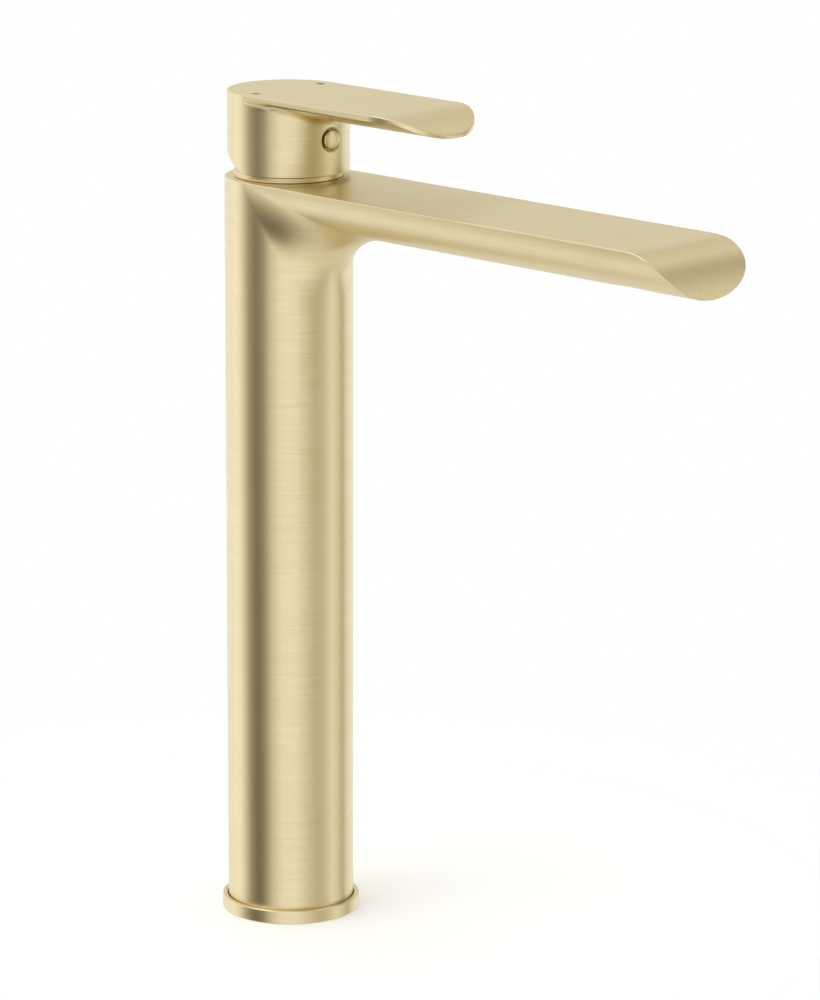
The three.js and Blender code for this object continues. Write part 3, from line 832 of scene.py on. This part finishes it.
aerator_r, aerator_low, aerator_height = 10.6 * MM, outlet_z + 0.2 * MM, 9 * MM
lip_r, lip_height, sleeve_r = 8.4 * MM, 2 * MM, 9 * MM
notch_half, notch_depth, notch_reach = 1.1 * MM, 0.9 * MM, 12 * MM
housing = turned([
    (lip_r, aerator_low), (aerator_r, aerator_low), (aerator_r, aerator_low + aerator_height),
    (sleeve_r, aerator_low + aerator_height), (sleeve_r, aerator_low + lip_height),
    (lip_r, aerator_low + lip_height)], 96, closed=True)
soften_edges(housing, 0.2 * MM)
notch_low, notch_top = aerator_low - OVER, aerator_low + notch_depth
cut(housing,
    block((-notch_reach, -notch_half, notch_low), (notch_reach, notch_half, notch_top)),
    block((-notch_half, -notch_reach, notch_low), (notch_half, notch_reach, notch_top)))
white_acetal = acetal("moulded white acetal", "#E2E1DA", "#F2F1EC")
finish_piece(shift(housing, outlet_x), "aerator_housing_moulded", white_acetal, "body",
             "white_plastic", "aerator_housing")

screen_r, screen_low, screen_high = 8.7 * MM, aerator_low + 2.3 * MM, aerator_low + 3.7 * MM
cell_pitch, cell_r, screen_border = 1.9 * MM, 0.92 * MM, 0.3 * MM
screen = rod(screen_r, screen_low, screen_high)
soften_edges(screen, 0.15 * MM, 2)
cells = []
for row in range(-4, 5):
    for column in range(-4, 5):
        x, y = cell_pitch * (column + row % 2 / 2), cell_pitch * row * math.sin(math.pi / 3)
        if math.hypot(x, y) < screen_r - cell_r - screen_border:
            cells.append(rod(cell_r, screen_low - OVER, screen_high + OVER, x, y, corners=6))
choose(cells[0])
for cell in cells:
    cell.select_set(True)
bpy.ops.object.join()
cut(screen, cells[0])
finish_piece(shift(screen, outlet_x), "aerator_screen_moulded", white_acetal, "body",
             "white_plastic", "aerator_screen")


# ---- Parts inside the casting -------------------------------------------------------------------
# Supply pipes, cartridge, seals, stem and screw, all hidden in use. Each is in the stock it is made
# from: drawn copper, moulded acetal, lapped ceramic, nitrile, turned brass and stainless steel.

def plain_metal(name, low_hex, high_hex, roughness, sizes):
    """Drawn or ground metal, a little uneven in colour along its length."""
    material, tree, shader, place = start_material(name, {"Metallic": 1, "Roughness": roughness})
    haze = grain(tree, place, sizes)
    tint(tree, shader, haze, linear(low_hex), linear(high_hex))
    emboss(tree, shader, haze, 0.1, 0.03 * MM)
    return material


def ceramic(name):
    """Lapped alumina: off-white, flat and nearly polished, with grey wear from sliding."""
    material, tree, shader, place = start_material(name, {"Roughness": 0.18})
    wear = grain(tree, place, (2.5 * MM, 2.5 * MM, 16.67 * MM))
    tint(tree, shader, wear, linear("#D3CFC6"), linear("#EDEAE2"), (0.3, 0.6))
    return material


drawn_haze, ground_haze = (1.667 * MM, 1.667 * MM, 25 * MM), (1.111 * MM,) * 3
inside = {
    plain_metal("drawn copper tube", "#A9653F", "#C98A63", 0.3, drawn_haze): (
        "hot_riser_pipe", "cold_riser_pipe"),
    plain_metal("ground stainless steel", "#9FA3A7", "#C3C6C8", 0.28, ground_haze): (
        "pivot_pin", "grub_screw"),
    ceramic("lapped alumina ceramic"): ("fixed_ceramic_disc", "moving_ceramic_disc"),
    nitrile: ("inlet_block_oring", "hot_port_seal", "cold_port_seal", "outlet_port_seal",
              "cartridge_oring", "aerator_gasket"),
    white_acetal: ("cartridge_base", "cartridge_housing"),
    acetal("moulded grey acetal", "#7E8387", "#969A9E"): ("disc_carrier", "rotor_sleeve"),
    brass: ("stem", "retaining_nut"),
}
for material, names in inside.items():
    for name in names:
        for slot in bpy.data.objects[name].material_slots:
            slot.material = material
